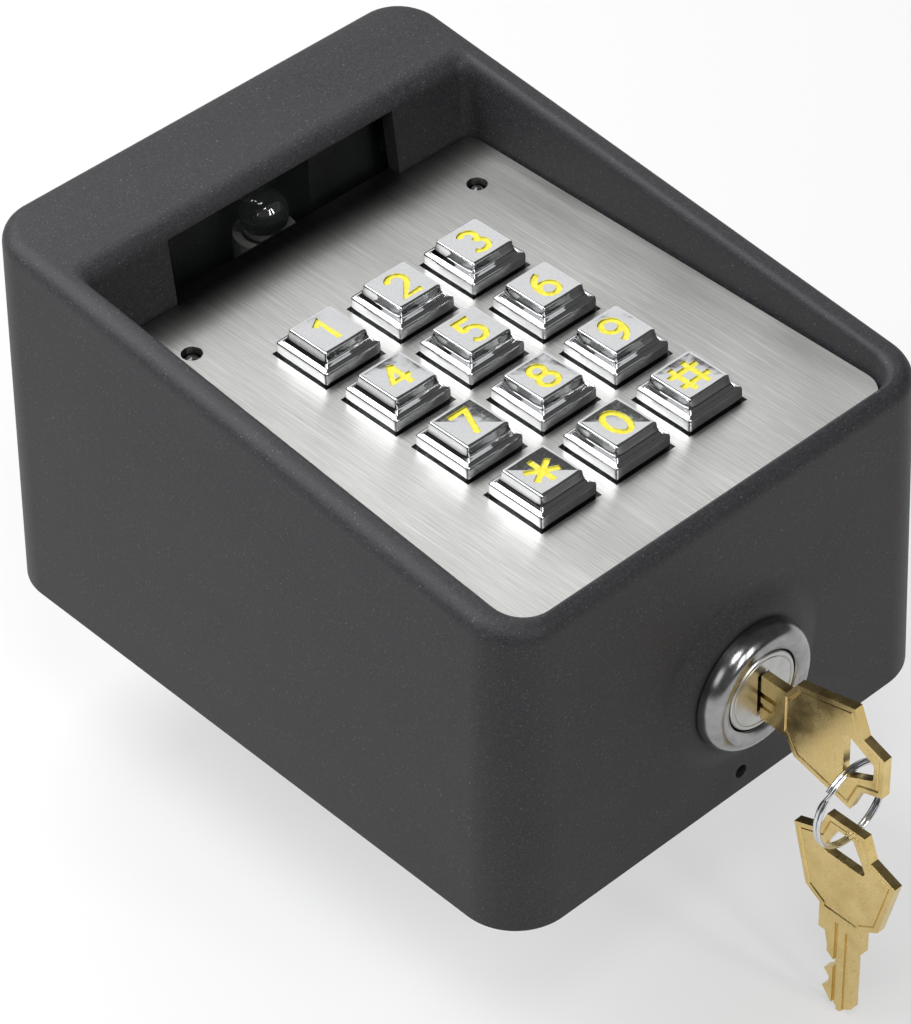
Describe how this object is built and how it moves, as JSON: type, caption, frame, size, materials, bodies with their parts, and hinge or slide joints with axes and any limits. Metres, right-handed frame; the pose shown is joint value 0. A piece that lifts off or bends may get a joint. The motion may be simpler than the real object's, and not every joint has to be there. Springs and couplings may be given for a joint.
{
  "type": "keypad access reader",
  "caption": "Wedge-rimmed cast housing with a recessed metal button keypad, a lamp window in its hood, and a cam lock in its end with a key and a spare on a ring.",
  "frame": {"origin": "centre of the back plate outer face, on the mounting surface", "axes": "+X across the keypad to the right as its digits read, +Y towards the hood and lamp window, +Z out of the front"},
  "size_m": [0.1016, 0.1699, 0.1116],
  "materials": {
    "powder_coat": "fine matt black textured powder coat",
    "brushed_steel": "brushed lengthwise, satin",
    "button_chrome": "bright plated, filled engraved legends",
    "satin_chrome": "satin plated, slightly brushed",
    "lock_plug": "satin nickel plate",
    "key_brass": "polished brass, light wear",
    "polished_steel": "bright drawn wire",
    "zinc_plate": "zinc plated steel",
    "black_plastic": "moulded black",
    "white_plastic": "moulded off-white",
    "green_plastic": "moulded green",
    "circuit_board": "solder mask over glass epoxy",
    "silicone": "moulded silicone",
    "black_rubber": "soft black",
    "grey_cable": "flat ribbon insulation",
    "clear_plastic": "water clear lamp body",
    "clear_glass": "blown clear bulb",
    "smoked_window": "smoked clear sheet"
  },
  "bodies": {
    "back_plate": {"back_plate": "zinc_plate", "back_gasket": "black_rubber", "cable_grommet": "black_rubber", "catch_bracket": "zinc_plate", "catch_screw": "zinc_plate"},
    "cover": {"housing": "powder_coat", "faceplate": "brushed_steel", "keypad_frame": "black_plastic", "keypad_mat": "silicone", "keypad_board": "circuit_board", "indicator_left": "clear_plastic", "indicator_right": "clear_plastic", "main_board": "circuit_board", "terminal_block_power": "green_plastic", "terminal_block_signal": "green_plastic", "relay": "black_plastic", "controller_chip": "black_plastic", "buzzer": "black_plastic", "capacitor": "black_plastic", "ribbon_cable": "grey_cable", "lamp_socket": "white_plastic", "lamp_bulb": "clear_glass", "light_baffle": "black_plastic", "window_lens": "smoked_window", "lens_seal": "black_rubber", "lens_clip_left": "zinc_plate", "lens_clip_right": "zinc_plate", "lens_screw_left": "zinc_plate", "lens_screw_right": "zinc_plate", "lock_body": "satin_chrome", "lock_nut": "zinc_plate", "keypad_nut_1": "zinc_plate", "board_screw_1": "zinc_plate", "keypad_nut_2": "zinc_plate", "board_screw_2": "zinc_plate", "keypad_nut_3": "zinc_plate", "board_screw_3": "zinc_plate", "keypad_nut_4": "zinc_plate", "board_screw_4": "zinc_plate"},
    "lock_plug": {"lock_plug": "lock_plug", "lock_cam": "zinc_plate", "cam_screw": "zinc_plate"},
    "service_key": {"service_key": "key_brass"},
    "split_ring": {"split_ring": "polished_steel"},
    "spare_key": {"spare_key": "key_brass"},
    "button_1": {"button_1": "button_chrome"},
    "button_2": {"button_2": "button_chrome"},
    "button_3": {"button_3": "button_chrome"},
    "button_4": {"button_4": "button_chrome"},
    "button_5": {"button_5": "button_chrome"},
    "button_6": {"button_6": "button_chrome"},
    "button_7": {"button_7": "button_chrome"},
    "button_8": {"button_8": "button_chrome"},
    "button_9": {"button_9": "button_chrome"},
    "button_star": {"button_star": "button_chrome"},
    "button_0": {"button_0": "button_chrome"},
    "button_hash": {"button_hash": "button_chrome"}
  },
  "joints": [
    {"name": "cover_swing", "type": "hinge", "parent": "back_plate", "child": "cover", "pos_m": [0, 0.06635, 0], "axis": [-1, 0, 0], "range_deg": [0, 65]},
    {"name": "key_pull", "type": "slide", "parent": "lock_plug", "child": "service_key", "axis": [0, -1, 0], "range_m": [0, 0.022]},
    {"name": "lock_turn", "type": "hinge", "parent": "cover", "child": "lock_plug", "pos_m": [0.0026, -0.06, 0.026], "axis": [0, -1, 0], "range_deg": [0, 90]},
    {"name": "ring_swing", "type": "hinge", "parent": "service_key", "child": "split_ring", "pos_m": [0.0026, -0.0914, 0.017], "axis": [0, -1, 0], "range_deg": [-75, 75]},
    {"name": "spare_swing", "type": "hinge", "parent": "split_ring", "child": "spare_key", "pos_m": [0.0026, -0.0914, 0.0061], "axis": [-1, 0, 0], "range_deg": [-25, 40]},
    {"name": "touch_button_1", "type": "slide", "parent": "cover", "child": "button_1", "axis": [0, -0.0109, -0.9999], "range_m": [0, 0.0015], "stiffness_N_per_m": 300, "springref_m": -0.002, "deforming": ["keypad_mat"]},
    {"name": "touch_button_2", "type": "slide", "parent": "cover", "child": "button_2", "axis": [0, -0.0109, -0.9999], "range_m": [0, 0.0015], "stiffness_N_per_m": 300, "springref_m": -0.002, "deforming": ["keypad_mat"]},
    {"name": "touch_button_3", "type": "slide", "parent": "cover", "child": "button_3", "axis": [0, -0.0109, -0.9999], "range_m": [0, 0.0015], "stiffness_N_per_m": 300, "springref_m": -0.002, "deforming": ["keypad_mat"]},
    {"name": "touch_button_4", "type": "slide", "parent": "cover", "child": "button_4", "axis": [0, -0.0109, -0.9999], "range_m": [0, 0.0015], "stiffness_N_per_m": 300, "springref_m": -0.002, "deforming": ["keypad_mat"]},
    {"name": "touch_button_5", "type": "slide", "parent": "cover", "child": "button_5", "axis": [0, -0.0109, -0.9999], "range_m": [0, 0.0015], "stiffness_N_per_m": 300, "springref_m": -0.002, "deforming": ["keypad_mat"]},
    {"name": "touch_button_6", "type": "slide", "parent": "cover", "child": "button_6", "axis": [0, -0.0109, -0.9999], "range_m": [0, 0.0015], "stiffness_N_per_m": 300, "springref_m": -0.002, "deforming": ["keypad_mat"]},
    {"name": "touch_button_7", "type": "slide", "parent": "cover", "child": "button_7", "axis": [0, -0.0109, -0.9999], "range_m": [0, 0.0015], "stiffness_N_per_m": 300, "springref_m": -0.002, "deforming": ["keypad_mat"]},
    {"name": "touch_button_8", "type": "slide", "parent": "cover", "child": "button_8", "axis": [0, -0.0109, -0.9999], "range_m": [0, 0.0015], "stiffness_N_per_m": 300, "springref_m": -0.002, "deforming": ["keypad_mat"]},
    {"name": "touch_button_9", "type": "slide", "parent": "cover", "child": "button_9", "axis": [0, -0.0109, -0.9999], "range_m": [0, 0.0015], "stiffness_N_per_m": 300, "springref_m": -0.002, "deforming": ["keypad_mat"]},
    {"name": "touch_button_star", "type": "slide", "parent": "cover", "child": "button_star", "axis": [0, -0.0109, -0.9999], "range_m": [0, 0.0015], "stiffness_N_per_m": 300, "springref_m": -0.002, "deforming": ["keypad_mat"]},
    {"name": "touch_button_0", "type": "slide", "parent": "cover", "child": "button_0", "axis": [0, -0.0109, -0.9999], "range_m": [0, 0.0015], "stiffness_N_per_m": 300, "springref_m": -0.002, "deforming": ["keypad_mat"]},
    {"name": "touch_button_hash", "type": "slide", "parent": "cover", "child": "button_hash", "axis": [0, -0.0109, -0.9999], "range_m": [0, 0.0015], "stiffness_N_per_m": 300, "springref_m": -0.002, "deforming": ["keypad_mat"]}
  ]
}
